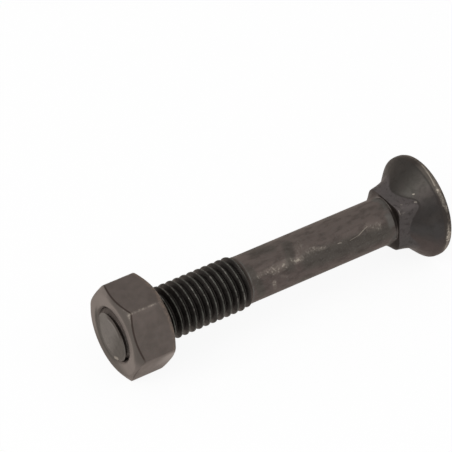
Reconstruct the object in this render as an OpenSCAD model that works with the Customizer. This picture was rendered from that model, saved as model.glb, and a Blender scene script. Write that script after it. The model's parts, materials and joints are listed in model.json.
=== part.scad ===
// Plow bolt with its hex nut, lying on a flat surface.
// The bolt has a flat countersunk head, a square neck under it, a plain shank and a threaded end.
// Each piece is drawn along +Z with the bolt's tip at zero, and then laid down on the nut and the head.
// Laid down, the bolt points along +X towards its head, and the floor is at Z zero.

/* [Bolt] */
// Length from the tip to the flat face of the head
bolt_length = 80; // [60:1:160]
// Diameter over the thread crests
thread_d = 12; // [11:0.5:14]
// Distance from one thread crest to the next
pitch = 1.75; // [1:0.25:2.5]
// Length of full thread, measured from the tip
thread_length = 30; // [20:0.5:50]
// Diameter of the plain shank
shank_d = 10.8; // [9:0.1:11.9]
// Height of the chamfer on the tip
tip_chamfer = 1.1; // [0.6:0.1:1.6]

/* [Head] */
// Diameter of the head at its rim
head_d = 23.4; // [20:0.1:30]
// Height of the straight rim, with its rounded edge
rim_height = 2.1; // [1:0.1:3]
// Radius of the rim's edge at the flat face
rim_edge = 0.3; // [0.1:0.1:0.9]
// Angle of the countersunk underside, from side to side
head_angle = 90; // [70:1:100]

/* [Neck] */
// Width of the square neck across its flats, where it starts
neck_side = 11.8; // [11:0.1:14]
// Distance from the flat face of the head to the start of the neck
neck_depth = 10; // [8:0.1:14]
// Angle at which the neck's flats lean out towards the head
flat_draft = 10; // [0:0.5:12]
// How far the neck's corners are rounded off where it starts
neck_rounding = 0.9; // [0.1:0.05:1.2]
// Angle at which the rounded corners lean out towards the head
corner_draft = 12; // [0:0.5:14]

/* [Nut] */
// Width of the nut across its flats
nut_width = 19; // [17:0.1:22]
// Height of the nut
nut_height = 9.8; // [6:0.1:14]
// How far each flat stands out past the round edge of the nut's faces
nut_face_inset = 0.45; // [0.1:0.05:0.8]
// Angle of the chamfer on the nut's corners, from the face
nut_chamfer_angle = 30; // [15:1:35]
// Depth of the countersink at each end of the nut's hole
countersink = 0.5; // [0.2:0.1:0.8]
// How far the tip of the bolt stands out of the nut
tip_out = 0.6; // [0:0.1:15]
// Gap all round between the thread crests and the nut's hole
thread_clearance = 0.05; // [0.02:0.01:0.1]

/* [Hidden] */
$fn = 96;

// A metric thread has 60 degree ridges, a depth in proportion to its pitch and narrow flat crests
thread_depth = 0.6134 * pitch;
flank_angle = 30;
crest_width = pitch / 8;
ridge_half_width = crest_width / 2 + thread_depth * tan(flank_angle);

thread_r = thread_d / 2;
root_r = thread_r - thread_depth;
shank_r = shank_d / 2;
tip_r = thread_r - tip_chamfer;
turns = ceil(thread_length / pitch);
last_crest = thread_length - pitch / 2;
first_root = last_crest - (turns + 1) * pitch;
run_out_end = thread_length + pitch / 2;

head_r = head_d / 2;
face_r = head_r - rim_edge;
rim_start = bolt_length - rim_height;
rim_edge_start = bolt_length - rim_edge;
rim_edge_steps = 4;
cone_slope = tan(head_angle / 2);
cone_start = rim_start - (head_r - shank_r) / cone_slope;

neck_start = bolt_length - neck_depth;
neck_length = rim_start - neck_start;
neck_half = neck_side / 2;
neck_end_half = neck_half + neck_length * tan(flat_draft);
neck_corner_r = neck_half * sqrt(2) - neck_rounding;
neck_end_corner_r = neck_corner_r + neck_length * tan(corner_draft);

nut_flat_r = nut_width / 2;
nut_corner_r = nut_flat_r / cos(30);
nut_face_r = nut_flat_r - nut_face_inset;
nut_chamfer_slope = tan(nut_chamfer_angle);
nut_chamfer_height = (nut_corner_r - nut_face_r) * nut_chamfer_slope;
nut_hole_r = thread_r + thread_clearance;

// The flat under the nut ends where the chamfers cut the middle of the flat
nut_flat_inset = nut_face_inset * nut_chamfer_slope;
nut_flat_start = tip_out + nut_flat_inset;
nut_flat_end = tip_out + nut_height - nut_flat_inset;

// Lying down, the bolt touches the floor under one end of the nut's flat and under the rim
head_is_wider = head_r > nut_flat_r;
nut_touch = head_is_wider ? nut_flat_start : nut_flat_end;
head_touch = head_is_wider ? rim_start : rim_edge_start;
tilt = atan((head_r - nut_flat_r) / (head_touch - nut_touch));
axis_height = nut_flat_r * cos(tilt) - nut_touch * sin(tilt);

// The origin is under the middle of the whole length
lean = abs(sin(tilt));
tip_reach = min(-tip_r * lean, tip_out * cos(tilt) - nut_face_r * lean);
head_reach = bolt_length * cos(tilt) + face_r * lean;
middle = (tip_reach + head_reach) / 2;

// Lays a piece drawn along +Z down on the floor, tip towards -X
module laid_down() {
  translate([-middle, 0, axis_height])
    rotate([0, 90 - tilt, 0])
      children();
}

// Half section of one thread ridge, from root to root
function ridge(crest) = [
  [root_r, crest - ridge_half_width],
  [thread_r, crest - crest_width / 2],
  [thread_r, crest + crest_width / 2],
  [root_r, crest + ridge_half_width]
];

// Quarter round from the rim to the flat face of the head
rim_edge_section = [
  for (step = [0 : rim_edge_steps])
    let (turn = 90 * step / rim_edge_steps)
      [face_r + rim_edge * cos(turn), rim_edge_start + rim_edge * sin(turn)]
];

// Half section of everything round on the bolt: thread, run-out, shank, cone and rim
round_section = concat(
  [[0, first_root], [root_r, first_root]],
  [for (turn = [turns : -1 : 0]) each ridge(last_crest - turn * pitch)],
  [[shank_r, run_out_end], [shank_r, cone_start], [head_r, rim_start]],
  rim_edge_section,
  [[0, bolt_length]]
);

// Room for the round body, cut off at the tip and chamfered there
module tip_trim() {
  cylinder(h = tip_chamfer, r1 = tip_r, r2 = thread_r);
  translate([0, 0, tip_chamfer]) cylinder(h = bolt_length, r = head_d);
}

module round_body() {
  intersection() {
    rotate_extrude() polygon(round_section);
    tip_trim();
  }
}

// Section of the neck from flat to flat, widening towards the head
neck_section = [
  [-neck_half, 0],
  [neck_half, 0],
  [neck_end_half, neck_length],
  [-neck_end_half, neck_length]
];

// Wedge with two of the neck's flats
module neck_wedge() {
  rotate([90, 0, 0])
    linear_extrude(height = head_d, center = true)
      polygon(neck_section);
}

// Square neck, two wedges crossed and rounded off, running up into the cone of the head
module square_neck() {
  translate([0, 0, neck_start])
    intersection() {
      neck_wedge();
      rotate([0, 0, 90]) neck_wedge();
      cylinder(h = neck_length, r1 = neck_corner_r, r2 = neck_end_corner_r);
    }
}

module plow_bolt() {
  color([0.2, 0.18, 0.17])
    laid_down() {
      round_body();
      square_neck();
    }
}

// Half section of the round that chamfers both ends of the hexagon
nut_trim_section = [
  [0, 0],
  [nut_face_r, 0],
  [nut_corner_r, nut_chamfer_height],
  [nut_corner_r, nut_height - nut_chamfer_height],
  [nut_face_r, nut_height],
  [0, nut_height]
];

module nut_blank() {
  intersection() {
    rotate([0, 0, 30]) cylinder(h = nut_height, r = nut_corner_r, $fn = 6);
    rotate_extrude() polygon(nut_trim_section);
  }
}

// Half section of the hole, opened out at both ends
nut_hole_section = [
  [0, -countersink],
  [nut_hole_r + 2 * countersink, -countersink],
  [nut_hole_r, countersink],
  [nut_hole_r, nut_height - countersink],
  [nut_hole_r + 2 * countersink, nut_height + countersink],
  [0, nut_height + countersink]
];

module hex_nut() {
  color([0.3, 0.27, 0.26])
    laid_down()
      translate([0, 0, tip_out])
        difference() {
          nut_blank();
          rotate_extrude() polygon(nut_hole_section);
        }
}

plow_bolt();
hex_nut();
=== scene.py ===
# %% [markdown]
# # A plow bolt and its hex nut
#
# A plow bolt holds a share or a blade to its frame. Its flat head sinks into a countersunk hole, the square
# neck under the head sits in a square hole so that the bolt can't turn, and the nut is done up from behind.
# This notebook dresses the measured solids of the bolt: it models the real thread and the soft forged forms
# over them, and then gives the steel its dark oxide finish.
#
# The first cell loads the solids as a fixed frame. Everything below is placed from what they measure.

# %% Load the measured solids
import json
import math

import bmesh
import bpy
from mathutils import Matrix, Quaternion, Vector


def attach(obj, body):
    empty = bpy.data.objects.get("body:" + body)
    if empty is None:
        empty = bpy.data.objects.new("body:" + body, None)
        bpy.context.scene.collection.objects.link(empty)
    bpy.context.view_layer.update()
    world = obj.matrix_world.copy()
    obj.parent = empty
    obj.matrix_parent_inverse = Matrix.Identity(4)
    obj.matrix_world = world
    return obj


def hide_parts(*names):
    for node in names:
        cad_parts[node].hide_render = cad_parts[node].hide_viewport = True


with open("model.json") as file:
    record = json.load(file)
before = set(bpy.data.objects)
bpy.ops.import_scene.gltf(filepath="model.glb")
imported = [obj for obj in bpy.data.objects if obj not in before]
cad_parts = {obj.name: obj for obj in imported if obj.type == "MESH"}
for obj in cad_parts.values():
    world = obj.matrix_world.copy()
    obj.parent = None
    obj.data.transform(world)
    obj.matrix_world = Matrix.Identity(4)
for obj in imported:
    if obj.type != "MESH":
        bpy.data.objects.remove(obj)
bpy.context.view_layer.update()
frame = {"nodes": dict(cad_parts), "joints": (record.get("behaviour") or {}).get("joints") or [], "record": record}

# %% [markdown]
# The bolt lies on a flat of the nut and on the rim of its head, so its axis rises a little towards the head.
# It is far easier to model a turned part straight along the X axis, with its tip at zero, and to lay it down
# at the end. The nut's joint gives the direction of the axis, and the mount on the head gives a point on it.

# %% Find the axis and the length of the bolt
MM = 0.001

axis = Vector(frame["joints"][0]["axis"]).normalized()
mounts = {mount["name"]: mount for mount in frame["record"]["mounts"]}
head_face = Vector(mounts["head_face"]["pos_m"])


def reach_along_axis(node):
    """Nearest and farthest place of a solid along the axis, measured from the head's flat face."""
    places = [(vert.co - head_face).dot(axis) for vert in frame["nodes"][node].data.vertices]
    return min(places), max(places)


nut_reach = reach_along_axis("hex_nut")
BOLT_LENGTH = -reach_along_axis("plow_bolt")[0]
NUT_START = nut_reach[0] + BOLT_LENGTH
NUT_HEIGHT = nut_reach[1] - nut_reach[0]
tip = head_face - axis * BOLT_LENGTH
TILT = math.atan2(axis.z, axis.x)
LAID_DOWN = Matrix.Translation(tip) @ Matrix.Rotation(-TILT, 4, "Y")
print(f"bolt {BOLT_LENGTH / MM:.2f} mm long, nut from {NUT_START / MM:.2f} mm")
print(f"axis tilted by {math.degrees(TILT):.2f} degrees")

# %% [markdown]
# The camera comes first, so that every later step can be judged in the final picture. A product picture
# like this one is taken from a good distance with a long lens, which keeps the two ends of the bolt at
# almost the same scale. The aim is the point that the middle of the picture shows.

# %% Place the camera
CAMERA_AIM = Vector((-0.00495, 0.01001, 0.01749))
CAMERA_DISTANCE = 0.6454
CAMERA_AZIMUTH = math.radians(-34.09)
CAMERA_ELEVATION = math.radians(38.91)
CAMERA_ROLL = math.radians(1.72)
CAMERA_LENS = 239.2
CAMERA_NEAREST = 0.01

to_camera = Vector((
    math.sin(CAMERA_AZIMUTH) * math.cos(CAMERA_ELEVATION),
    -math.cos(CAMERA_AZIMUTH) * math.cos(CAMERA_ELEVATION),
    math.sin(CAMERA_ELEVATION),
))
turn = (-to_camera).to_track_quat("-Z", "Y") @ Quaternion((0, 0, 1), CAMERA_ROLL)
bpy.ops.object.camera_add(location=CAMERA_AIM + to_camera * CAMERA_DISTANCE, rotation=turn.to_euler())
camera = bpy.context.object
camera.data.lens = CAMERA_LENS
camera.data.clip_start = CAMERA_NEAREST
bpy.context.scene.camera = camera
print("camera at", [round(x, 3) for x in camera.location])

# %% [markdown]
# The stage is a plain white floor under a white sky, as in a light tent. The floor is white to the camera and
# to reflections whatever falls on it, through Light Path, and a share of it stays an ordinary matte surface,
# so the bolt keeps a soft shadow. Two large lamps give the steel its shape.

# %% Set up the floor, the sky and the lamps
scene = bpy.context.scene
scene.view_settings.view_transform = "Standard"

FLOOR_SIZE = 6.0
SHADOW_SHARE = 0.09
PAPER_WHITE = (0.95, 0.95, 0.95, 1)
PAPER_ROUGHNESS = 0.9
SKY_WHITE = (1, 1, 1, 1)
SKY_STRENGTH = 0.68


def new_material(name):
    """A node material with only its output and its shader."""
    material = bpy.data.materials.new(name)
    material.use_nodes = True
    return material


def seen_directly(nodes, links):
    """1 for rays from the camera, from mirrors and through glass, 0 for the rays that light the scene."""
    path = nodes.new("ShaderNodeLightPath")
    straight_or_mirrored = nodes.new("ShaderNodeMath")
    straight_or_mirrored.operation = "MAXIMUM"
    links.new(path.outputs["Is Camera Ray"], straight_or_mirrored.inputs[0])
    links.new(path.outputs["Is Glossy Ray"], straight_or_mirrored.inputs[1])
    any_of = nodes.new("ShaderNodeMath")
    any_of.operation = "MAXIMUM"
    links.new(straight_or_mirrored.outputs[0], any_of.inputs[0])
    links.new(path.outputs["Is Transmission Ray"], any_of.inputs[1])
    return any_of.outputs[0]


bpy.ops.object.select_all(action="DESELECT")
bpy.ops.mesh.primitive_plane_add(size=FLOOR_SIZE)
floor = bpy.context.object
floor.name = "floor"

paper = new_material("white_paper")
nodes = paper.node_tree.nodes
links = paper.node_tree.links
matte = nodes["Principled BSDF"]
matte.inputs["Base Color"].default_value = PAPER_WHITE
matte.inputs["Roughness"].default_value = PAPER_ROUGHNESS
glow = nodes.new("ShaderNodeEmission")
glow.inputs["Strength"].default_value = 1.0
share = nodes.new("ShaderNodeMath")
share.operation = "MULTIPLY"
share.inputs[1].default_value = 1 - SHADOW_SHARE
links.new(seen_directly(nodes, links), share.inputs[0])
blend = nodes.new("ShaderNodeMixShader")
links.new(share.outputs[0], blend.inputs["Fac"])
links.new(matte.outputs["BSDF"], blend.inputs[1])
links.new(glow.outputs["Emission"], blend.inputs[2])
links.new(blend.outputs["Shader"], nodes["Material Output"].inputs["Surface"])
floor.data.materials.append(paper)

world = bpy.data.worlds.new("light_tent")
scene.world = world
world.use_nodes = True
sky = world.node_tree.nodes["Background"]
sky.inputs["Color"].default_value = SKY_WHITE
sky.inputs["Strength"].default_value = SKY_STRENGTH


def add_lamp(name, place, size, power):
    """A square soft lamp that faces the floor under the bolt."""
    bpy.ops.object.light_add(type="AREA", location=place)
    lamp = bpy.context.object
    lamp.name = name
    lamp.data.size = size
    lamp.data.energy = power
    lamp.rotation_euler = (-Vector(place)).to_track_quat("-Z", "Y").to_euler()


add_lamp("key_lamp", (-1.1, -0.1, 0.8), 0.8, 9.0)
add_lamp("fill_lamp", (0.5, -0.9, 0.9), 0.9, 2.0)

# %% [markdown]
# A screw thread is one ridge wound round a bar. The quick way to model it is to draw the section of one turn
# and to let the Screw modifier wind it: each turn moves the section on by one pitch, so the end of one turn
# is the start of the next and the ridge is unbroken. The section is drawn as by hand, from a single vertex
# that is extruded along the outline, and its four corners are then rounded by a vertex bevel, because a
# rolled thread has no sharp edges. Its depth, its flanks and its flat crests have metric proportions.
#
# Bisect cuts the thread to length. It takes points within its threshold as lying on the cut, and its
# default of 0.1 mm is too coarse for so small a part, so a far lower one is set.

# %% Wind a thread
PITCH = 1.75 * MM
THREAD_RADIUS = 6.0 * MM
THREAD_DEPTH = 0.6134 * PITCH
FLANK = THREAD_DEPTH * math.tan(math.radians(30))
CREST_HALF = PITCH / 16
THREAD_STEPS = 96
CORNER_ROUND = 0.07 * MM
CORNER_SEGMENTS = 3
CREST_PLACE = 0.99 * MM
SAME_PLACE = 0.001 * MM


def edit_only(piece):
    """Makes a piece the only selected one and opens it for editing, all of it selected."""
    if bpy.context.object and bpy.context.object.mode == "EDIT":
        bpy.ops.object.mode_set(mode="OBJECT")
    bpy.ops.object.select_all(action="DESELECT")
    piece.select_set(True)
    bpy.context.view_layer.objects.active = piece
    bpy.ops.object.mode_set(mode="EDIT")
    bpy.ops.mesh.select_mode(type="VERT")
    bpy.ops.mesh.select_all(action="SELECT")


def close_edit():
    """Goes back from editing to the whole piece."""
    bpy.ops.object.mode_set(mode="OBJECT")


def select_where(piece, test):
    """Selects the vertices of the open piece whose place passes the test."""
    shape = bmesh.from_edit_mesh(piece.data)
    for vert in shape.verts:
        vert.select = test(vert.co)
    shape.select_flush_mode()
    bmesh.update_edit_mesh(piece.data)


def drawn_line(name, points):
    """An open line of edges through the points, extruded one after the other from a single vertex."""
    bpy.ops.object.select_all(action="DESELECT")
    bpy.ops.mesh.primitive_plane_add(size=MM)
    line = bpy.context.object
    line.name = name
    edit_only(line)
    bpy.ops.mesh.merge(type="CENTER")
    bpy.ops.transform.translate(value=points[0])
    for here, there in zip(points, points[1:]):
        bpy.ops.mesh.extrude_vertices_move(TRANSFORM_OT_translate={"value": there - here})
    return line


def wound_thread(name, start, turns, outward):
    """A thread's surface along X, open for editing; outward moves all of it off the axis."""
    root = THREAD_RADIUS - THREAD_DEPTH + outward
    crest = THREAD_RADIUS + outward
    first_crest = start + PITCH / 2
    outline = [
        (start, root),
        (first_crest - CREST_HALF - FLANK, root),
        (first_crest - CREST_HALF, crest),
        (first_crest + CREST_HALF, crest),
        (first_crest + CREST_HALF + FLANK, root),
        (start + PITCH, root),
    ]
    thread = drawn_line(name, [Vector((x, y, 0)) for x, y in outline])
    ends = (start, start + PITCH)
    select_where(thread, lambda co: min(abs(co.x - end) for end in ends) > CORNER_ROUND)
    bpy.ops.mesh.bevel(offset=CORNER_ROUND, segments=CORNER_SEGMENTS, affect="VERTICES")
    close_edit()
    screw = thread.modifiers.new("one ridge", "SCREW")
    screw.axis = "X"
    screw.screw_offset = PITCH
    screw.iterations = turns
    screw.steps = THREAD_STEPS
    screw.render_steps = THREAD_STEPS
    screw.use_smooth_shade = True
    bpy.ops.object.modifier_apply(modifier=screw.name)
    edit_only(thread)
    bpy.ops.mesh.remove_doubles(threshold=SAME_PLACE)
    bpy.ops.mesh.normals_make_consistent(inside=False)
    return thread


def cut_to_length(start, end):
    """Cuts the open piece square to the X axis at both ends."""
    for at, outside in ((start, "clear_inner"), (end, "clear_outer")):
        bpy.ops.mesh.select_all(action="SELECT")
        bpy.ops.mesh.bisect(
            plane_co=(at, 0, 0), plane_no=(1, 0, 0), threshold=SAME_PLACE, **{outside: True}
        )


def select_open_edges(piece, test):
    """Selects the edges of the open piece that have only one face, where their place passes the test."""
    bpy.ops.mesh.select_mode(type="EDGE")
    bpy.ops.mesh.select_all(action="DESELECT")
    shape = bmesh.from_edit_mesh(piece.data)
    for edge in shape.edges:
        middle = (edge.verts[0].co + edge.verts[1].co) / 2
        edge.select_set(edge.is_boundary and test(middle))
    bmesh.update_edit_mesh(piece.data)


def round_about_axis(co):
    """Distance from the X axis, and the angle round it from the Y axis."""
    return math.hypot(co.y, co.z), math.atan2(co.z, co.y)


def move_radially(piece, new_radius):
    """Gives each vertex of the open piece the radius that new_radius works out from its place and radius."""
    shape = bmesh.from_edit_mesh(piece.data)
    for vert in shape.verts:
        radius, angle = round_about_axis(vert.co)
        moved = new_radius(vert.co.x, radius)
        vert.co.y = moved * math.cos(angle)
        vert.co.z = moved * math.sin(angle)
    bmesh.update_edit_mesh(piece.data)


# %% [markdown]
# The threaded end is wound a few turns longer than it has to be and cut square at both ends. Then the ridge
# is trimmed: a small chamfer limits the radius near the tip, so the groove runs out through the tip's edge,
# and towards the shank the thread fades. Thread rolls let go gradually, so the groove fills up first and
# the crest sinks into the plain bar a little later.

# %% Make the threaded end of the bolt
TIP_CHAMFER = 0.7 * MM
TIP_RADIUS = THREAD_RADIUS - TIP_CHAMFER
SHANK_RADIUS = 5.4 * MM
GROOVE_FADE = (30.2 * MM, 32.5 * MM)
CREST_FADE = (30.8 * MM, 33.0 * MM)
THREAD_CUT = 34 * MM
SPARE_TURNS = 2


def smooth_step(value, low, high):
    """0 up to low, 1 from high on and a smooth step between."""
    share = min(max((value - low) / (high - low), 0), 1)
    return share * share * (3 - 2 * share)


def threaded_radius(x, radius):
    """The ridge, faded into the shank and limited by the chamfer on the tip."""
    fade = smooth_step(x, *(CREST_FADE if radius > SHANK_RADIUS else GROOVE_FADE))
    faded = radius + (SHANK_RADIUS - radius) * fade
    return min(faded, TIP_RADIUS + max(x, 0))


thread_start = CREST_PLACE - PITCH / 2 - SPARE_TURNS * PITCH
thread_turns = math.ceil((THREAD_CUT - thread_start) / PITCH) + 1
bolt = wound_thread("plow_bolt_forged", thread_start, thread_turns, 0)
cut_to_length(0, THREAD_CUT)
move_radially(bolt, threaded_radius)
select_open_edges(bolt, lambda place: place.x < TIP_CHAMFER)
bpy.ops.mesh.edge_face_add()
close_edit()
print(f"thread of {thread_turns} turns, {len(bolt.data.polygons)} faces")

# %% [markdown]
# The rest of the bolt is one forging: a round shank, a square neck and a flaring head that flow into each
# other. A lathe-like stack of rings suits it. A circle is extruded ring by ring along the axis, and each ring
# is pushed out to the bolt's own section there. The section is the larger of the round form and the square
# neck, and the two are blended a little, which gives the soft fillet that a forging die leaves.
#
# The two halves of the die met at two opposite corners of the neck. Those corners came out low and sloping,
# with a wide fillet, while the other two filled the die and are almost sharp. The neck as a whole stands
# turned by a few degrees about the axis.

# %% Work out the forged section of the bolt
RING_POINTS = 192
HEAD_RADIUS = 11.72 * MM
RIM_START = BOLT_LENGTH - 2.1 * MM
RIM_SEAM = BOLT_LENGTH - 1.0 * MM
RIM_DRAFT = 0.12
RIM_EDGE = 0.25 * MM
RIM_SOFTNESS = 0.35 * MM
CONE_SLOPE = math.tan(math.radians(92 / 2))
NECK_HALF = 5.9 * MM
NECK_START = BOLT_LENGTH - 10.0 * MM
NECK_TAPER = 0.18
NECK_SQUARENESS = 13
NECK_TURN = math.radians(3)
FULL_CORNER = 7.6 * MM
FULL_GROWTH = 0.23
SEAM_CORNER = 7.2 * MM
SEAM_GROWTH = 0.18
CORNER_SOFTNESS = 0.2 * MM
FORGED_FILLET = 0.25 * MM
SEAM_SPREAD = (0.4, 0.95)
SEAM_SOFTNESS = 0.5 * MM
SEAM_FILLET = 0.8 * MM


def soft_max(a, b, softness):
    """The larger of two values, with a rounded change from one to the other."""
    return (a + b + math.hypot(a - b, softness)) / 2


def soft_min(a, b, softness):
    """The smaller of two values, with a rounded change from one to the other."""
    return (a + b - math.hypot(a - b, softness)) / 2


def round_form(x):
    """Radius of the shank, the countersunk cone and the rim, which tapers past its seam."""
    cone = HEAD_RADIUS - (RIM_START - x) * CONE_SLOPE
    rim = HEAD_RADIUS - max(x - RIM_SEAM, 0) * RIM_DRAFT
    return max(SHANK_RADIUS, soft_min(cone, rim, RIM_SOFTNESS))


def seam_share(angle):
    """1 at the two corners on the seam of the die, 0 on the flats and at the other corners."""
    return smooth_step(math.sin(2 * angle), *SEAM_SPREAD)


def neck_form(x, angle):
    """Radius of the square neck, which widens towards the head, with its corners as the die left them."""
    depth = x - NECK_START
    across = abs(math.cos(angle)) ** NECK_SQUARENESS + abs(math.sin(angle)) ** NECK_SQUARENESS
    square = (NECK_HALF + NECK_TAPER * depth) / across ** (1 / NECK_SQUARENESS)
    full_corner = FULL_CORNER + FULL_GROWTH * depth
    seam_corner = SEAM_CORNER + SEAM_GROWTH * depth
    seam = seam_share(angle)
    corner = full_corner + (seam_corner - full_corner) * seam
    return soft_min(square, corner, CORNER_SOFTNESS + SEAM_SOFTNESS * seam)


def forged_radius(x, angle):
    """Radius of the whole forging, with a fillet where the neck meets the cone."""
    turned = angle + NECK_TURN
    fillet = FORGED_FILLET + SEAM_FILLET * seam_share(turned)
    return soft_max(round_form(x), neck_form(x, turned), fillet)


print(f"neck from {NECK_START / MM:.1f} mm, rim from {RIM_START / MM:.1f} mm")

# %% [markdown]
# The rings are close together where the form turns and far apart on the straight shank. The neck starts
# with a step: its first rings stand at almost one place and climb from the shank out to the neck, with a
# small round at the foot and at the edge. At the seam corners the lower rings reach further towards the
# tip, so the step becomes a slope there. Each ring is a small function that gives, for an angle round the
# bolt, the place along it and the radius.

# %% Extrude the forged end ring by ring
SHANK_RINGS = [THREAD_CUT + 1 * MM, 46 * MM, 58 * MM, NECK_START - 2.4 * MM]
STEP_ROUND = 0.3 * MM
STEP_RINGS = 10
SEAM_RAMP = 1.5 * MM
RAMP_CURVE = 1.3
FLARE_STEP = 0.25 * MM
RIM_EDGE_RINGS = 5


def round_ring(x, radius):
    """A ring that is round and square to the axis."""
    return lambda angle: (x, radius)


def step_ring(climb):
    """A ring of the neck's front face; climb runs from 0 at the foot to 1 at the edge."""
    depth = STEP_ROUND * (2 * climb - 1) ** 3
    share = (1 - math.cos(math.pi * climb)) / 2

    def place_at(angle):
        x = NECK_START + depth - SEAM_RAMP * seam_share(angle + NECK_TURN) * (1 - share) ** RAMP_CURVE
        top = forged_radius(NECK_START + STEP_ROUND, angle)
        return x, SHANK_RADIUS + (top - SHANK_RADIUS) * share

    return place_at


def flare_ring(x):
    """A ring with the forged section at its place."""
    return lambda angle: (x, forged_radius(x, angle))


def rim_edge_ring(climb):
    """A ring of the rounded edge between the rim, at 0, and the head's flat face, at 1."""
    bend = math.radians(90) * climb
    x = BOLT_LENGTH - RIM_EDGE + RIM_EDGE * math.sin(bend)
    return round_ring(x, round_form(BOLT_LENGTH - RIM_EDGE) - RIM_EDGE * (1 - math.cos(bend)))


def shape_ring(piece, place_at):
    """Moves the selected ring of the open piece to the place and the radius of each angle."""
    shape = bmesh.from_edit_mesh(piece.data)
    for vert in shape.verts:
        if vert.select:
            angle = round_about_axis(vert.co)[1]
            x, radius = place_at(angle)
            vert.co = (x, radius * math.cos(angle), radius * math.sin(angle))
    bmesh.update_edit_mesh(piece.data)


def stacked_rings(name, rings):
    """A tube of rings along X: a circle, extruded once for each further ring."""
    bpy.ops.object.select_all(action="DESELECT")
    bpy.ops.mesh.primitive_circle_add(
        vertices=RING_POINTS, radius=SHANK_RADIUS, fill_type="NOTHING", rotation=(0, math.pi / 2, 0)
    )
    tube = bpy.context.object
    tube.name = name
    bpy.ops.object.transform_apply(rotation=True)
    edit_only(tube)
    shape_ring(tube, rings[0])
    for place_at in rings[1:]:
        bpy.ops.mesh.extrude_edges_move(TRANSFORM_OT_translate={"value": (MM, 0, 0)})
        shape_ring(tube, place_at)
    return tube


flare_from = NECK_START + STEP_ROUND
flare_to = BOLT_LENGTH - RIM_EDGE
flare_count = round((flare_to - flare_from) / FLARE_STEP)
rings = [round_ring(x, SHANK_RADIUS) for x in SHANK_RINGS]
rings += [step_ring(n / STEP_RINGS) for n in range(STEP_RINGS + 1)]
rings += [flare_ring(flare_from + (flare_to - flare_from) * n / flare_count) for n in range(1, flare_count)]
rings += [rim_edge_ring(n / RIM_EDGE_RINGS) for n in range(RIM_EDGE_RINGS + 1)]
forging = stacked_rings("forged_end", rings)
bpy.ops.mesh.edge_face_add()
close_edit()
print(f"{len(rings)} rings of {RING_POINTS} points, {len(forging.data.polygons)} faces")

# %% [markdown]
# Now the two halves become one piece, as the real bolt is one. Join puts both meshes in one object, and
# Bridge Edge Loops closes the narrow gap between the last turn of the thread and the first ring of the shank.

# %% Join the thread to the forging
SMOOTH_ANGLE = math.radians(35)


def join_into(piece, other):
    """Makes the other mesh a part of the piece."""
    bpy.ops.object.select_all(action="DESELECT")
    other.select_set(True)
    piece.select_set(True)
    bpy.context.view_layer.objects.active = piece
    bpy.ops.object.join()


def bridge_open_edges(piece, test):
    """Joins two open ends of the piece, where their place passes the test, by a band of faces."""
    select_open_edges(piece, test)
    bpy.ops.mesh.bridge_edge_loops()


def open_edges(piece):
    """How many edges don't have a face on both sides."""
    shape = bmesh.new()
    shape.from_mesh(piece.data)
    count = sum(not edge.is_manifold for edge in shape.edges)
    shape.free()
    return count


def finish_shape(piece):
    """Turns all faces outwards, shades the soft edges smooth and lays the piece down in its place."""
    bpy.ops.mesh.select_all(action="SELECT")
    bpy.ops.mesh.normals_make_consistent(inside=False)
    close_edit()
    bpy.ops.object.shade_smooth_by_angle(angle=SMOOTH_ANGLE)
    piece.matrix_world = LAID_DOWN
    bpy.ops.object.transform_apply(location=True, rotation=True, scale=True)
    print(f"{piece.name}: {len(piece.data.polygons)} faces, {open_edges(piece)} open edges")


join_into(bolt, forging)
edit_only(bolt)
bridge_open_edges(bolt, lambda co: True)
finish_shape(bolt)

# %% [markdown]
# The nut is a hexagon whose corners are turned off at 30 degrees, so each flat ends in a curved line where
# it meets the cone. A boolean with a cone would cut that curve, but its mesh is hard to bevel. Here the nut's
# skin is a stack of rings again: for each direction round the nut, the cone meets the hexagon at a depth that
# can be worked out, so one ring simply follows that curve.

# %% Make the skin of the nut
NUT_FLAT = 9.5 * MM
NUT_CORNER = 11.0 * MM
NUT_CORNER_SOFTNESS = 0.25 * MM
NUT_FACE_RADIUS = 9.05 * MM
NUT_FACE_ROUND = 0.3 * MM
NUT_BACK_ROUND = 0.4 * MM
NUT_ROUND_SEGMENTS = 4
FLAT_MARGIN = 0.1 * MM
NUT_CHAMFER_SLOPE = math.tan(math.radians(30))
NUT_SIDE = math.radians(60)
COUNTERSINK_RADIUS = 6.55 * MM
FACE_INNER_RADIUS = COUNTERSINK_RADIUS + 0.3 * MM
NUT_EDGE_ROUND = 0.12 * MM
NUT_EDGE_SEGMENTS = 3
NUT_EDGE_ANGLE = math.radians(20)
NUT_END = NUT_START + NUT_HEIGHT
middle_of_nut = (NUT_START + NUT_END) / 2


def hexagon(angle):
    """Radius of the hexagon, which has a flat above and below and slightly rounded corners."""
    sharp = NUT_FLAT / math.cos(angle % NUT_SIDE - NUT_SIDE / 2)
    return soft_min(sharp, NUT_CORNER, NUT_CORNER_SOFTNESS)


def chamfer_ring(face, inward):
    """The curved line where the turned cone behind a face meets the hexagon."""
    def place_at(angle):
        radius = hexagon(angle)
        return face + inward * (radius - NUT_FACE_RADIUS) * NUT_CHAMFER_SLOPE, radius

    return place_at


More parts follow.
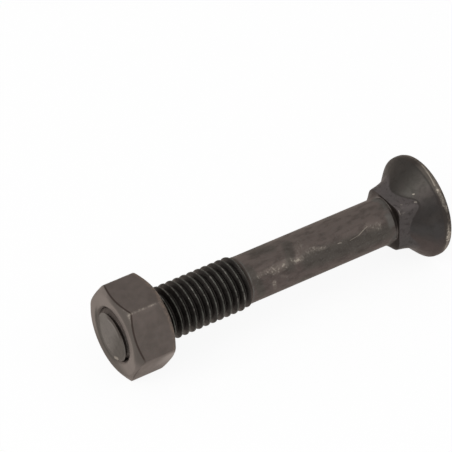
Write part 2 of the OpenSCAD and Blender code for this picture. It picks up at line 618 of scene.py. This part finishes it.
nut = stacked_rings("hex_nut_turned", [
    round_ring(NUT_START, FACE_INNER_RADIUS),
    round_ring(NUT_START, NUT_FACE_RADIUS),
    chamfer_ring(NUT_START, 1),
    chamfer_ring(NUT_END, -1),
    round_ring(NUT_END, NUT_FACE_RADIUS),
    round_ring(NUT_END, FACE_INNER_RADIUS),
])
bpy.ops.mesh.select_all(action="SELECT")
bpy.ops.mesh.normals_make_consistent(inside=False)
bpy.ops.mesh.select_mode(type="VERT")
select_where(nut, lambda co: abs(round_about_axis(co)[0] - NUT_FACE_RADIUS) < SAME_PLACE)
bpy.ops.mesh.bevel(offset=NUT_FACE_ROUND, segments=NUT_ROUND_SEGMENTS)
select_where(nut, lambda co: co.x > middle_of_nut and round_about_axis(co)[0] > NUT_FLAT - FLAT_MARGIN)
bpy.ops.mesh.bevel(offset=NUT_BACK_ROUND, segments=NUT_ROUND_SEGMENTS)
close_edit()
soften = nut.modifiers.new("worn edges", "BEVEL")
soften.width = NUT_EDGE_ROUND
soften.segments = NUT_EDGE_SEGMENTS
soften.limit_method = "ANGLE"
soften.angle_limit = NUT_EDGE_ANGLE
bpy.ops.object.modifier_apply(modifier=soften.name)
print(f"nut skin: {len(nut.data.polygons)} faces")

# %% [markdown]
# The thread inside the nut is the same ridge as on the bolt, moved out by a small clearance. It is wound
# where the bolt's own thread runs, so the two are in mesh, and opened out at both ends by a countersink. It
# ends a little inside the nut's faces, because Bridge Edge Loops twists its band of faces when both loops
# lie in one plane round one middle.

# %% Tap the nut
THREAD_GAP = 0.05 * MM
MOUTH_DEPTH = 0.1 * MM


def tapped_radius(x, radius):
    """The thread in the nut, opened out by the countersinks."""
    from_end = min(x - NUT_START, NUT_END - x)
    return max(radius, COUNTERSINK_RADIUS - from_end)


skipped = math.floor((NUT_START - thread_start) / PITCH) - SPARE_TURNS
tap_start = thread_start + skipped * PITCH
tap_turns = math.ceil(NUT_HEIGHT / PITCH) + 2 * SPARE_TURNS + 1
tapping = wound_thread("nut_thread", tap_start, tap_turns, THREAD_GAP)
cut_to_length(NUT_START + MOUTH_DEPTH, NUT_END - MOUTH_DEPTH)
move_radially(tapping, tapped_radius)
close_edit()

join_into(nut, tapping)
edit_only(nut)
bridge_open_edges(nut, lambda co: co.x < middle_of_nut)
bridge_open_edges(nut, lambda co: co.x > middle_of_nut)
finish_shape(nut)

# %% [markdown]
# Both pieces have a dark oxide finish: the steel is boiled in salts until its skin turns brown-black, and
# then oiled. It is still metal, so most of its look is a dim, blurred reflection. What makes it believable
# is that it isn't even: stains, scale from the forge, oil in the thread and bright steel where the skin has
# rubbed off.
#
# All of that follows the shape of the bolt, so the finishes need to know where on the bolt a point is: how
# far along it, how far off its axis and how far round it. Object coordinates give the point, and a Mapping
# node turns them back from the laid-down bolt to the straight one, in millimetres. The angle is 0 straight
# up and grows towards the camera's side. A few short helpers keep this readable. They add their nodes to
# `tree`, the node tree of the finish that is being made.

# %% Find a point's place on the bolt in a node tree
def put(socket, value):
    """Links another node's output to an input, or sets the input to a plain number or colour."""
    if isinstance(value, bpy.types.NodeSocket):
        tree.links.new(value, socket)
    else:
        socket.default_value = value


def work_out(operation, first, second=0.0):
    """The result of a Math node."""
    node = tree.nodes.new("ShaderNodeMath")
    node.operation = operation
    put(node.inputs[0], first)
    put(node.inputs[1], second)
    return node.outputs[0]


def vector_work_out(operation, first, second=(0, 0, 0)):
    """The node of a Vector Math step, whose outputs are Vector and Value."""
    node = tree.nodes.new("ShaderNodeVectorMath")
    node.operation = operation
    put(node.inputs[0], first)
    put(node.inputs[1], second)
    return node


def place_on_bolt():
    """The straightened point in mm, its place along the bolt, its radius and its angle from straight up."""
    point = tree.nodes.new("ShaderNodeTexCoord")
    straight = tree.nodes.new("ShaderNodeMapping")
    back = LAID_DOWN.inverted()
    straight.inputs["Location"].default_value = back.translation / MM
    straight.inputs["Rotation"].default_value = back.to_euler()
    straight.inputs["Scale"].default_value = (1 / MM, 1 / MM, 1 / MM)
    tree.links.new(point.outputs["Object"], straight.inputs["Vector"])
    parts = tree.nodes.new("ShaderNodeSeparateXYZ")
    tree.links.new(straight.outputs["Vector"], parts.inputs[0])
    off_axis = vector_work_out("MULTIPLY", straight.outputs["Vector"], (0, 1, 1))
    radius = vector_work_out("LENGTH", off_axis.outputs["Vector"]).outputs["Value"]
    away = work_out("MULTIPLY", parts.outputs["Y"], -1.0)
    angle = work_out("ARCTAN2", away, parts.outputs["Z"])
    return straight.outputs["Vector"], parts.outputs["X"], radius, angle


# %% [markdown]
# More helpers do the painting. `rise` turns a distance into a soft-edged mask and `band` into a soft-edged
# stripe, `both` and `either` join two masks, `cloud` is noise whose patches have a size in millimetres,
# `towards` tells how far a point lies to one side, and `lay` lays one colour over another by a mask. Colours
# are written as a picture stores them, from 0 to 255, and turned into linear light.

# %% Helpers that paint by masks
def colour(red, green, blue):
    """A picture's colour as linear light."""
    def linear(level):
        share = level / 255
        return share / 12.92 if share <= 0.04045 else ((share + 0.055) / 1.055) ** 2.4

    return linear(red), linear(green), linear(blue), 1.0


def rise(value, low, high):
    """0 up to low and 1 from high on, with a smooth step between; it falls if low is the larger."""
    node = tree.nodes.new("ShaderNodeMapRange")
    node.interpolation_type = "SMOOTHSTEP"
    put(node.inputs["Value"], value)
    node.inputs["From Min"].default_value = low
    node.inputs["From Max"].default_value = high
    return node.outputs["Result"]


def both(first, second):
    """Two masks multiplied, or one mask weakened by a number."""
    return work_out("MULTIPLY", first, second)


def either(first, second):
    """The stronger of two masks."""
    return work_out("MAXIMUM", first, second)


def band(value, middle, half_width, softness):
    """1 within half the width of the middle, softly down to 0."""
    gap = work_out("ABSOLUTE", work_out("SUBTRACT", value, middle))
    return rise(gap, half_width + softness, half_width)


def cloud(where, size, detail=3.0):
    """Noise between 0 and 1 with patches of about this many millimetres."""
    node = tree.nodes.new("ShaderNodeTexNoise")
    put(node.inputs["Vector"], where)
    node.inputs["Scale"].default_value = 1 / size
    node.inputs["Detail"].default_value = detail
    return node.outputs["Fac"]


def towards(where, direction):
    """How far a point lies in a direction."""
    return vector_work_out("DOT_PRODUCT", where, direction).outputs["Value"]


def lay(share, over, under):
    """One colour laid over another by a share."""
    node = tree.nodes.new("ShaderNodeMix")
    node.data_type = "RGBA"
    put(node.inputs["Factor"], share)
    put(node.inputs[6], under)
    put(node.inputs[7], over)
    return node.outputs[2]


# %% [markdown]
# A stain, a scuff or a scratch runs between two places on the bolt. To measure how far a point is from that
# line, the skin is unrolled to a flat sheet: X runs along the bolt and Y round it, as wide as the skin of the
# shank. A dot product finds the nearest place on the line, and the distance to it gives the mask.

# %% Draw a mark between two places
STREAK_CORE = 0.3


def unrolled_skin():
    """A point's place on the bolt's skin, unrolled flat at the radius of the shank."""
    flat = tree.nodes.new("ShaderNodeCombineXYZ")
    put(flat.inputs["X"], along)
    put(flat.inputs["Y"], both(angle, SHANK_RADIUS / MM))
    return flat.outputs[0]


def streak(start, end, width):
    """The mask of a soft line between two places, each in mm along the bolt and degrees round it."""
    first, last = (Vector((x, math.radians(turn) * SHANK_RADIUS / MM, 0)) for x, turn in (start, end))
    run = last - first
    from_first = vector_work_out("SUBTRACT", unrolled, first).outputs["Vector"]
    share = tree.nodes.new("ShaderNodeMath")
    share.operation = "DIVIDE"
    share.use_clamp = True
    put(share.inputs[0], towards(from_first, run))
    put(share.inputs[1], run.length_squared)
    nearest = tree.nodes.new("ShaderNodeVectorMath")
    nearest.operation = "SCALE"
    put(nearest.inputs[0], run)
    put(nearest.inputs["Scale"], share.outputs[0])
    gap = vector_work_out("DISTANCE", from_first, nearest.outputs["Vector"]).outputs["Value"]
    return rise(gap, width, STREAK_CORE * width)


# %% [markdown]
# Both finishes end in the same kind of shader. Metallic is a little below 1, because oxide isn't quite a
# metal. On metal, Specular Tint colours the reflection at grazing angles, and a light warm grey keeps the
# outline from turning white. Roughness is mixed from greys just as the skin is mixed from colours. A bump of
# a few hundredths of a millimetre, too fine to model, breaks up the reflection.

# %% Join a finish to its shader
METAL_SHARE = 0.85
EDGE_TINT = colour(236, 226, 219)


def grey(level):
    """A number as a colour, so that roughness can be mixed as colours are."""
    return level, level, level, 1.0


def join_shader(skin, roughness, grain, grain_strength, grain_depth):
    """Feeds the colour, the roughness and the relief of the grain to the material's shader."""
    shader = tree.nodes["Principled BSDF"]
    shader.inputs["Metallic"].default_value = METAL_SHARE
    shader.inputs["Specular Tint"].default_value = EDGE_TINT
    put(shader.inputs["Base Color"], skin)
    put(shader.inputs["Roughness"], roughness)
    relief = tree.nodes.new("ShaderNodeBump")
    relief.inputs["Strength"].default_value = grain_strength
    relief.inputs["Distance"].default_value = grain_depth
    put(relief.inputs["Height"], grain)
    put(shader.inputs["Normal"], relief.outputs["Normal"])


# %% [markdown]
# The bolt's finish is built up in layers: the oxide skin of the shank, the scale on the forged end, the oil
# in the thread, the rim, and wear last. The larger marks have places of their own. Each is given by two
# places, in millimetres along the bolt from its tip and degrees round it, then a width in millimetres and a
# strength.

# %% Choose the bolt's colours and place its marks
BROWN_OXIDE = colour(91, 81, 77)
PAINTED_TOP_LIGHT = colour(105, 95, 90)
OLIVE_STAIN_AND_SHADE = colour(78, 74, 69)
SOOT_AND_SHADE = colour(64, 58, 54)
PITS_AND_STEP_SHADE = colour(46, 41, 38)
LIT_NECK_SCALE = colour(95, 90, 90)
NECK_SHADE = colour(74, 71, 71)
HEAD_SCALE = colour(61, 60, 55)
TOP_SCALE_AND_SHADE = colour(44, 41, 37)
NEAR_PAINTED_SHADE = colour(40, 37, 35)
BLUE_SCALE = colour(60, 58, 57)
RED_SCALE = colour(74, 64, 61)
RUBBED_GREY = colour(100, 98, 94)
OIL_AND_SHADE_BLACK = colour(42, 39, 37)
CREST_GREY = colour(78, 78, 73)
TIP_GREY = colour(108, 103, 98)
PAINTED_HIGHLIGHT = colour(140, 135, 129)
RIM_OXIDE_AND_SHEEN = colour(108, 101, 94)
BRONZE_WEAR = colour(122, 108, 95)
BARE_STEEL_AND_SHEEN = colour(190, 180, 166)

STAINS = [
    ((47, 63), (67, 76), 3.2, 0.8),
    ((42.3, 58), (44, 6), 1.8, 0.7),
    ((33, 30), (34.5, 100), 1.6, 0.8),
    ((36.5, -12), (40, -4), 2.2, 0.6),
]
SCUFFS_AND_RIM_SHEEN = [
    ((34.4, 49), (38.8, 46), 0.8, 0.5),
    ((38.2, 53), (41.4, 49), 1.2, 1.0),
    ((42.0, 44), (44.0, 51), 0.8, 0.5),
    ((43.8, 52), (45.2, 51), 1.0, 1.0),
    ((45.2, 46), (46.4, 10), 1.4, 0.22),
    ((46.0, 40), (48.5, 42), 1.6, 0.25),
    ((49.3, 45), (51.4, 50), 0.6, 0.5),
    ((37.7, 78), (37.9, 97), 0.7, 0.7),
    ((39.6, 71), (40.9, 78), 0.4, 0.5),
    ((63.0, 44), (65.4, 54), 1.4, 0.35),
    # From here on the marks lie on the rim: partly worn steel and partly a painted reflection along its seam.
    ((78.9, 38), (79.0, 52), 0.6, 1.3),
    ((79.1, 54), (79.3, 60), 0.5, 0.9),
    ((79.0, 79), (79.1, 87), 0.5, 0.7),
    ((79.1, 91), (79.2, 97), 0.8, 1.5),
    ((79.2, 107), (79.4, 116), 0.7, 1.5),
]
SCRATCHES_AND_RIM_SHEEN = [
    ((57.8, 57.5), (60.2, 54), 0.1, 0.25),
    ((60.2, 54), (61.7, 47.5), 0.12, 0.4),
    ((61.7, 47.5), (62.9, 43), 0.1, 0.35),
    ((54.8, 53), (55.6, 54), 0.16, 0.3),
    ((39.3, 54), (39.6, 52), 0.25, 0.3),
    ((40.5, 51), (41.0, 48), 0.3, 0.4),
    ((44.2, 52), (44.6, 51.5), 0.4, 0.5),
    ((74.8, 26), (75.0, 27), 0.14, 0.3),
    ((74.2, 38), (74.6, 39), 0.15, 0.35),
    ((71.5, 32), (71.7, 33), 0.15, 0.25),
    ((70.3, 40), (70.3, 46), 0.12, 0.3),
    # These two lie on the rim: partly worn steel and partly a painted reflection along its seam.
    ((79.3, 4), (79.15, 16), 0.2, 0.4),
    ((79.15, 14), (78.8, 31), 0.2, 0.6),
]
print(len(STAINS), "stains,", len(SCUFFS_AND_RIM_SHEEN), "scuffs and", len(SCRATCHES_AND_RIM_SHEEN), "scratches")

# %% [markdown]
# The shank is brown, with painted light that makes its top and far side paler, olive-grey stains and dark
# mottling that are drawn out along the bolt, and a fine grey grain. Squeezing the coordinates along X before
# they reach the noise is what draws the patches out.
#
# In this cell and the next ones the two numbers of a `rise` are where a mask starts and where it is full:
# millimetres along the bolt or off its axis, radians round it, or a level of the noise.

# %% Start the bolt's finish with the oxide skin and its painted top light
DRAWN_OUT = (0.45, 1, 1)

bolt_finish = new_material("dark_oxide_bolt")
tree = bolt_finish.node_tree
point, along, radius, angle = place_on_bolt()
unrolled = unrolled_skin()

# Painted light: the top and the far side of the shank and the thread are laid paler.
on_top = both(rise(angle, 1.25, -0.1), rise(along, 70.0, 69.0))
oxide = lay(on_top, PAINTED_TOP_LIGHT, BROWN_OXIDE)
drawn_out = vector_work_out("MULTIPLY", point, DRAWN_OUT).outputs["Vector"]
stains = rise(cloud(drawn_out, 5, 2), 0.54, 0.74)
for start, end, width, strength in STAINS:
    stains = either(stains, both(streak(start, end, width), strength))
oxide = lay(stains, OLIVE_STAIN_AND_SHADE, oxide)
mottling = rise(cloud(drawn_out, 1.0, 5), 0.4, 0.72)
oxide = lay(both(mottling, 0.45), SOOT_AND_SHADE, oxide)
grain = rise(cloud(point, 0.4, 3), 0.5, 0.72)
oxide = lay(both(grain, 0.35), RUBBED_GREY, oxide)

# %% [markdown]
# The forged end is darker, because hot steel scales. The neck is grey with dark pits, painted paler on top and
# darker on the camera's side as light and shade, the skin just in front of it is worn, and painted shade darkens
# the face of its step and its foot. Round the cone the scale changes from black on top, deepened there by painted
# shade, to grey-green, blue-black and red-brown, with a band of painted shade on the camera's side and borders
# that noise makes uneven.

# %% Paint the scale on the neck and the cone, with their painted light and shade
neck_place = NECK_START / MM
patches = rise(cloud(point, 3), 0.4, 0.6)
handled = either(patches, band(angle, 0.87, 0.2, 0.2))
wear_and_sheen = both(band(along, 68.8, 0.5, 0.8), handled)
skin = lay(both(wear_and_sheen, 0.7), RUBBED_GREY, oxide)
neck = rise(along, neck_place - 0.1, neck_place + 0.1)
# Painted light and shade: the neck is laid paler on top and darker on the camera's side.
neck_light_and_shade = lay(rise(angle, 0.6, 0.95), NECK_SHADE, LIT_NECK_SCALE)
skin = lay(both(neck, 0.7), neck_light_and_shade, skin)
pits = rise(cloud(point, 0.9, 5), 0.5, 0.68)
skin = lay(both(both(neck, pits), 0.4), PITS_AND_STEP_SHADE, skin)
# Painted shade on the face of the neck's step and at its foot, weaker on the far side.
step = both(rise(along, neck_place + 0.1, neck_place), rise(radius, 5.45, 5.8))
shaded = either(rise(angle, -0.7, -0.2), 0.25)
step = both(step, both(rise(along, 67.0, 68.0), shaded))
foot = both(band(along, neck_place - 0.25, 0.2, 0.2), band(angle, 0.9, 0.25, 0.4))
skin = lay(either(step, foot), PITS_AND_STEP_SHADE, skin)

cone_place = work_out("SUBTRACT", both(along, CONE_SLOPE), radius)
cone_start = (RIM_START * CONE_SLOPE - HEAD_RADIUS) / MM
cone = both(rise(cone_place, cone_start - 0.45, cone_start - 0.15), neck)
round_cone = work_out("ADD", angle, both(cloud(point, 4), 0.6))
scale = lay(rise(round_cone, 0.95, 1.25), BLUE_SCALE, HEAD_SCALE)
scale = lay(rise(round_cone, 1.8, 2.2), RED_SCALE, scale)
# The black on top is scale and painted shade; the band below it on the camera's side is painted shade.
scale = lay(both(rise(round_cone, 0.55, 0.15), 0.7), TOP_SCALE_AND_SHADE, scale)
scale = lay(both(band(round_cone, 1.2, 0.22, 0.3), 0.7), NEAR_PAINTED_SHADE, scale)
scale = lay(both(patches, 0.3), SOOT_AND_SHADE, scale)
skin = lay(both(cone, 0.8), scale, skin)

# %% [markdown]
# The thread is black with oil up to its last groove, with crests painted grey as worn steel and as a painted
# highlight, a few painted glints on them and a thin grey line where it runs out. The camera's side of the chamfer
# is painted lighter, as light falls there. The tip is barer: grey, with painted shade on the near side and where
# it rolls over at the far and upper edge, a thin painted highlight inside its upper edge and one painted
# highlight on its lip.

# %% Oil the thread, bare the tip and paint their light and shade
NEAR_SIDE = (0, -0.94, -0.34)
FAR_SIDE = (0, 0.77, -0.64)

oil = both(rise(along, 31.8, 31.2), rise(along, 1.6, 2.6))
skin = lay(both(rise(along, 32.6, 32.0), 0.6), SOOT_AND_SHADE, skin)
skin = lay(oil, OIL_AND_SHADE_BLACK, skin)
# Crests laid grey, partly worn steel and partly a painted highlight, with painted glints on them.
crest = both(rise(radius, 5.82, 5.96), oil)
wear_and_sheen = rise(cloud(point, 1.5), 0.2, 0.6)
skin = lay(both(crest, wear_and_sheen), CREST_GREY, skin)
glints = both(crest, rise(cloud(point, 0.9, 4), 0.52, 0.68))
skin = lay(both(glints, 0.4), PAINTED_HIGHLIGHT, skin)
run_out = band(along, 32.4, 0.06, 0.12)
skin = lay(both(run_out, wear_and_sheen), RUBBED_GREY, skin)
# Painted light: the camera's side of the chamfer near the tip is laid lighter.
chamfer = both(rise(along, 2.0, 1.2), rise(angle, 0.6, 1.2))
skin = lay(both(chamfer, 0.7), TIP_GREY, skin)

# Painted shade on the near side of the tip and where its far edge rolls over.
shaded_near_side = work_out("ADD", towards(point, NEAR_SIDE), both(cloud(point, 2), 3.0))
tip_skin = lay(both(rise(shaded_near_side, 1.5, 4.5), 0.8), OLIVE_STAIN_AND_SHADE, TIP_GREY)
rolled = both(rise(radius, 3.8, 4.6), rise(towards(point, FAR_SIDE), 1.0, 3.5))
tip_skin = lay(both(rolled, 0.85), OLIVE_STAIN_AND_SHADE, tip_skin)
# Painted highlight: a thin light ring inside the tip's upper edge, with painted shade beyond it.
upper = band(angle, 0.4, 0.5, 0.3)
edge = both(band(radius, 3.9, 0.08, 0.15), upper)
tip_skin = lay(both(edge, 0.4), PAINTED_HIGHLIGHT, tip_skin)
tip_skin = lay(both(rise(radius, 4.1, 4.5), both(upper, 0.85)), SOOT_AND_SHADE, tip_skin)
# Painted highlight: one bright spot on the tip's lip.
lip = both(band(angle, 2.7, 0.1, 0.15), rise(radius, 4.5, 4.9))
tip_skin = lay(both(lip, 0.45), BARE_STEEL_AND_SHEEN, tip_skin)
skin = lay(rise(along, 0.1, 0.02), tip_skin, skin)

# %% [markdown]
# The rim is sooty, with a painted reflection that makes it paler over a stretch near the top, and speckled
# with pale oxide and bronze past its seam.
# The flat end of the head is like the shank, a little sootier.

# %% Paint the rim and the flat end of the head
rim = rise(along, 77.9, 78.3)
# Painted reflection: the rim is laid paler over a stretch near the top.
rim_skin = lay(band(angle, 0.35, 0.2, 0.25), RIM_OXIDE_AND_SHEEN, SOOT_AND_SHADE)
skin = lay(both(rim, 0.7), rim_skin, skin)
past_seam = rise(along, 78.9, 79.3)
spotted = both(past_seam, rise(cloud(point, 0.9, 4), 0.36, 0.6))
skin = lay(both(spotted, 0.6), RIM_OXIDE_AND_SHEEN, skin)
bronze = both(past_seam, rise(cloud(point, 0.7, 4), 0.46, 0.7))
skin = lay(both(bronze, 0.6), BRONZE_WEAR, skin)
head_end = both(rise(along, 79.9, 79.98), rise(radius, 11.5, 11.3))
skin = lay(head_end, lay(0.3, SOOT_AND_SHADE, oxide), skin)

# %% [markdown]
# Wear comes last, and bares the steel: specks along the seam of the rim, flecks on the corners of the neck,
# and the scuffs and scratches. The thin bright line along the seam of the rim, and the marks listed on the rim,
# are partly worn steel and partly a painted reflection, laid in the same way. Noise breaks up a scuff, while a
# scratch is a plain fine line. Oil and bare steel are smoother than the plain skin, and the mottling is rougher.

# %% Wear the bolt, lay the rim's painted reflection and join its shader
PLAIN_ROUGHNESS = 0.5
OILED_ROUGHNESS = 0.38
MOTTLED_ROUGHNESS = 0.58
BARE_ROUGHNESS = 0.36
BOLT_GRAIN_STRENGTH = 0.5
BOLT_GRAIN_DEPTH = 0.03 * MM

grit = rise(cloud(point, 0.4, 5), 0.4, 0.75)
flecks = both(grit, rise(cloud(point, 1.4), 0.4, 0.65))
haze = work_out("ADD", both(flecks, 0.9), 0.1)
# The thin bright line along the seam of the rim is partly wear and partly a painted reflection.
seam_line = band(along, RIM_SEAM / MM, 0.05, 0.15)
wear_and_sheen = rise(cloud(point, 5), 0.48, 0.6)
bare_and_sheen = both(seam_line, both(wear_and_sheen, 0.35))
rim_flecks = both(band(along, RIM_SEAM / MM, 0.3, 0.7), both(flecks, wear_and_sheen))
bare_and_sheen = either(bare_and_sheen, both(rim_flecks, 0.35))
corner = both(rise(radius, 7.4, 7.9), both(neck, rise(along, 72.5, 70.5)))
bare_and_sheen = either(bare_and_sheen, both(both(corner, flecks), 0.3))
for start, end, width, strength in SCUFFS_AND_RIM_SHEEN:
    bare_and_sheen = either(bare_and_sheen, both(both(streak(start, end, width), haze), strength))
for start, end, width, strength in SCRATCHES_AND_RIM_SHEEN:
    bare_and_sheen = either(bare_and_sheen, both(streak(start, end, width), strength))
skin = lay(bare_and_sheen, BARE_STEEL_AND_SHEEN, skin)

roughness = lay(oil, grey(OILED_ROUGHNESS), grey(PLAIN_ROUGHNESS))
roughness = lay(mottling, grey(MOTTLED_ROUGHNESS), roughness)
roughness = lay(bare_and_sheen, grey(BARE_ROUGHNESS), roughness)
join_shader(skin, roughness, cloud(point, 0.6, 5), BOLT_GRAIN_STRENGTH, BOLT_GRAIN_DEPTH)
bolt.data.materials.clear()
bolt.data.materials.append(bolt_finish)
print("bolt finish:", len(tree.nodes), "nodes")

# %% [markdown]
# The nut was pressed and turned before it was blackened, so its skin is smoother and more even than the
# bolt's. The turned faces and chamfers are paler, partly as turned steel and partly as painted light, most of
# all on the chamfer at the far corner. Painted shade darkens them below, along the near edge and on the far
# side of the hole. Masks on the nut are measured from its own faces and from the cone of its chamfers.

# %% Start the nut's finish with its skin, its turned faces and their painted light and shade
NUT_OXIDE = colour(105, 95, 90)
NUT_SHADE = colour(98, 89, 84)
TURNED_AND_LIT_FACE = colour(126, 117, 111)
PAINTED_FACE_SHADE = colour(90, 84, 79)
LOW_SIDE = (0, 0.25, -0.97)

nut_finish = new_material("dark_oxide_nut")
tree = nut_finish.node_tree
point, along, radius, angle = place_on_bolt()

patches = rise(cloud(point, 5, 4), 0.36, 0.7)
skin = lay(patches, NUT_SHADE, NUT_OXIDE)
grain = rise(cloud(point, 0.35, 3), 0.45, 0.75)
skin = lay(both(grain, 0.35), RUBBED_GREY, skin)
mottling = rise(cloud(point, 1.3, 4), 0.35, 0.75)
skin = lay(both(mottling, 0.25), OLIVE_STAIN_AND_SHADE, skin)

from_front = work_out("SUBTRACT", along, NUT_START / MM)
from_back = work_out("SUBTRACT", NUT_END / MM, along)
from_face = work_out("MINIMUM", from_front, from_back)
past_face = work_out("SUBTRACT", radius, NUT_FACE_RADIUS / MM)
past_chamfer = work_out("SUBTRACT", from_face, both(past_face, NUT_CHAMFER_SLOPE))
turned = rise(work_out("MINIMUM", past_chamfer, from_face), 0.15, 0.05)
on_face = rise(from_face, 0.12, 0.02)
# Painted light on the turned faces, strongest on the chamfer at the far corner.
lit_far_corner = both(turned, band(angle, -0.5, 0.2, 0.15))
bright = either(both(turned, 0.4), both(on_face, 0.85))
bright = either(bright, both(lit_far_corner, 0.8))
skin = lay(bright, TURNED_AND_LIT_FACE, skin)
# Painted shade on the lower part of the front face.
shaded_low = both(rise(towards(point, LOW_SIDE), 3.5, 7.5), rise(from_front, 0.4, 0.1))
skin = lay(both(shaded_low, 0.9), PAINTED_FACE_SHADE, skin)
# Painted shade along the near edge of the front face and round the far side of the hole.
near_edge = both(rise(radius, 8.1, 8.7), band(angle, 0.8, 0.75, 0.35))
near_hole = both(rise(radius, 7.6, 7.0), rise(towards(point, FAR_SIDE), 2.0, 5.0))
dark_rings = both(either(near_edge, near_hole), rise(from_front, 2.5, 2.0))
skin = lay(both(both(dark_rings, turned), 0.9), PAINTED_FACE_SHADE, skin)
skin = lay(both(both(near_hole, turned), 0.7), OLIVE_STAIN_AND_SHADE, skin)

# %% [markdown]
# Edges make a nut look real. Its back edge is worn brown, and a thin dark line follows the front chamfer on
# the flats, stronger from the top round to the camera's side and broken by noise. The lower flat on the camera's
# side carries a painted reflection that grows towards the back, the hole is painted black as oil and as shade,
# with a painted shadow at the top of its countersink, and the corners carry small bright nicks from a wrench.

# %% Wear the nut, paint its reflection and shade and join its shader
LOWER_FLAT_REFLECTION = colour(150, 141, 135)
BROWN_EDGE = colour(124, 109, 98)
CHAMFER_LINE = colour(57, 47, 42)
NICK = colour(172, 162, 150)
LOWER_FLAT = math.radians(120)
NUT_ROUGHNESS = 0.46
PATCH_ROUGHNESS = 0.54
NUT_GRAIN_STRENGTH = 0.35
NUT_GRAIN_DEPTH = 0.02 * MM

on_flat = rise(radius, 9.35, 9.45)
back_edge = both(rise(past_chamfer, 1.0, 0.2), rise(from_back, 2.2, 1.8))
worn = rise(cloud(point, 0.7, 4), 0.36, 0.62)
skin = lay(both(back_edge, both(worn, 0.9)), BROWN_EDGE, skin)
in_front = both(on_flat, rise(from_back, 2.5, 3))
chamfer_line = both(band(past_chamfer, 0.28, 0.08, 0.24), in_front)
# The dark line is stronger from the top round to the camera's side, and broken by noise.
line_strength = rise(cloud(point, 3.5), 0.3, 0.55)
line_strength = either(line_strength, band(angle, 0.5, 0.9, 0.2))
skin = lay(both(chamfer_line, both(line_strength, 0.85)), CHAMFER_LINE, skin)
# Painted reflection: the lower flat on the camera's side, lighter towards the back.
lower_flat = both(band(angle, LOWER_FLAT, 0.3, 0.2), on_flat)
wear_and_sheen = both(lower_flat, both(rise(from_back, 5.5, 1.0), rise(angle, 2.6, 1.9)))
skin = lay(both(wear_and_sheen, 0.9), LOWER_FLAT_REFLECTION, skin)

# The hole is painted black as oil and as shade; the top of its countersink holds a painted shadow.
hole = both(rise(radius, 6.4, 6.2), rise(from_face, 0.3, 0.8))
hole_top = both(rise(radius, 6.75, 6.5), band(angle, 0.0, 0.5, 0.4))
skin = lay(either(hole, both(hole_top, 0.9)), OIL_AND_SHADE_BLACK, skin)
corner = rise(radius, 10.7, 10.84)
chamfer_edge = both(band(past_chamfer, 0.02, 0.05, 0.1), rise(radius, 9.9, 10.3))
edges = either(corner, both(chamfer_edge, 0.7))
spots = rise(cloud(point, 0.5, 5), 0.46, 0.66)
broken = work_out("ADD", both(spots, 0.7), 0.3)
struck = both(rise(cloud(point, 1.8), 0.36, 0.6), rise(angle, 1.5, 0.9))
nicks = both(edges, both(struck, broken))
skin = lay(both(nicks, 0.85), NICK, skin)

roughness = lay(patches, grey(PATCH_ROUGHNESS), grey(NUT_ROUGHNESS))
roughness = lay(nicks, grey(BARE_ROUGHNESS), roughness)
join_shader(skin, roughness, cloud(point, 0.45, 4), NUT_GRAIN_STRENGTH, NUT_GRAIN_DEPTH)
nut.data.materials.clear()
nut.data.materials.append(nut_finish)
print("nut finish:", len(tree.nodes), "nodes")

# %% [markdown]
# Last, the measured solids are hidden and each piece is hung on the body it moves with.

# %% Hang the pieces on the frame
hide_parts("plow_bolt")
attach(bolt, "bolt")
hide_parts("hex_nut")
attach(nut, "nut")
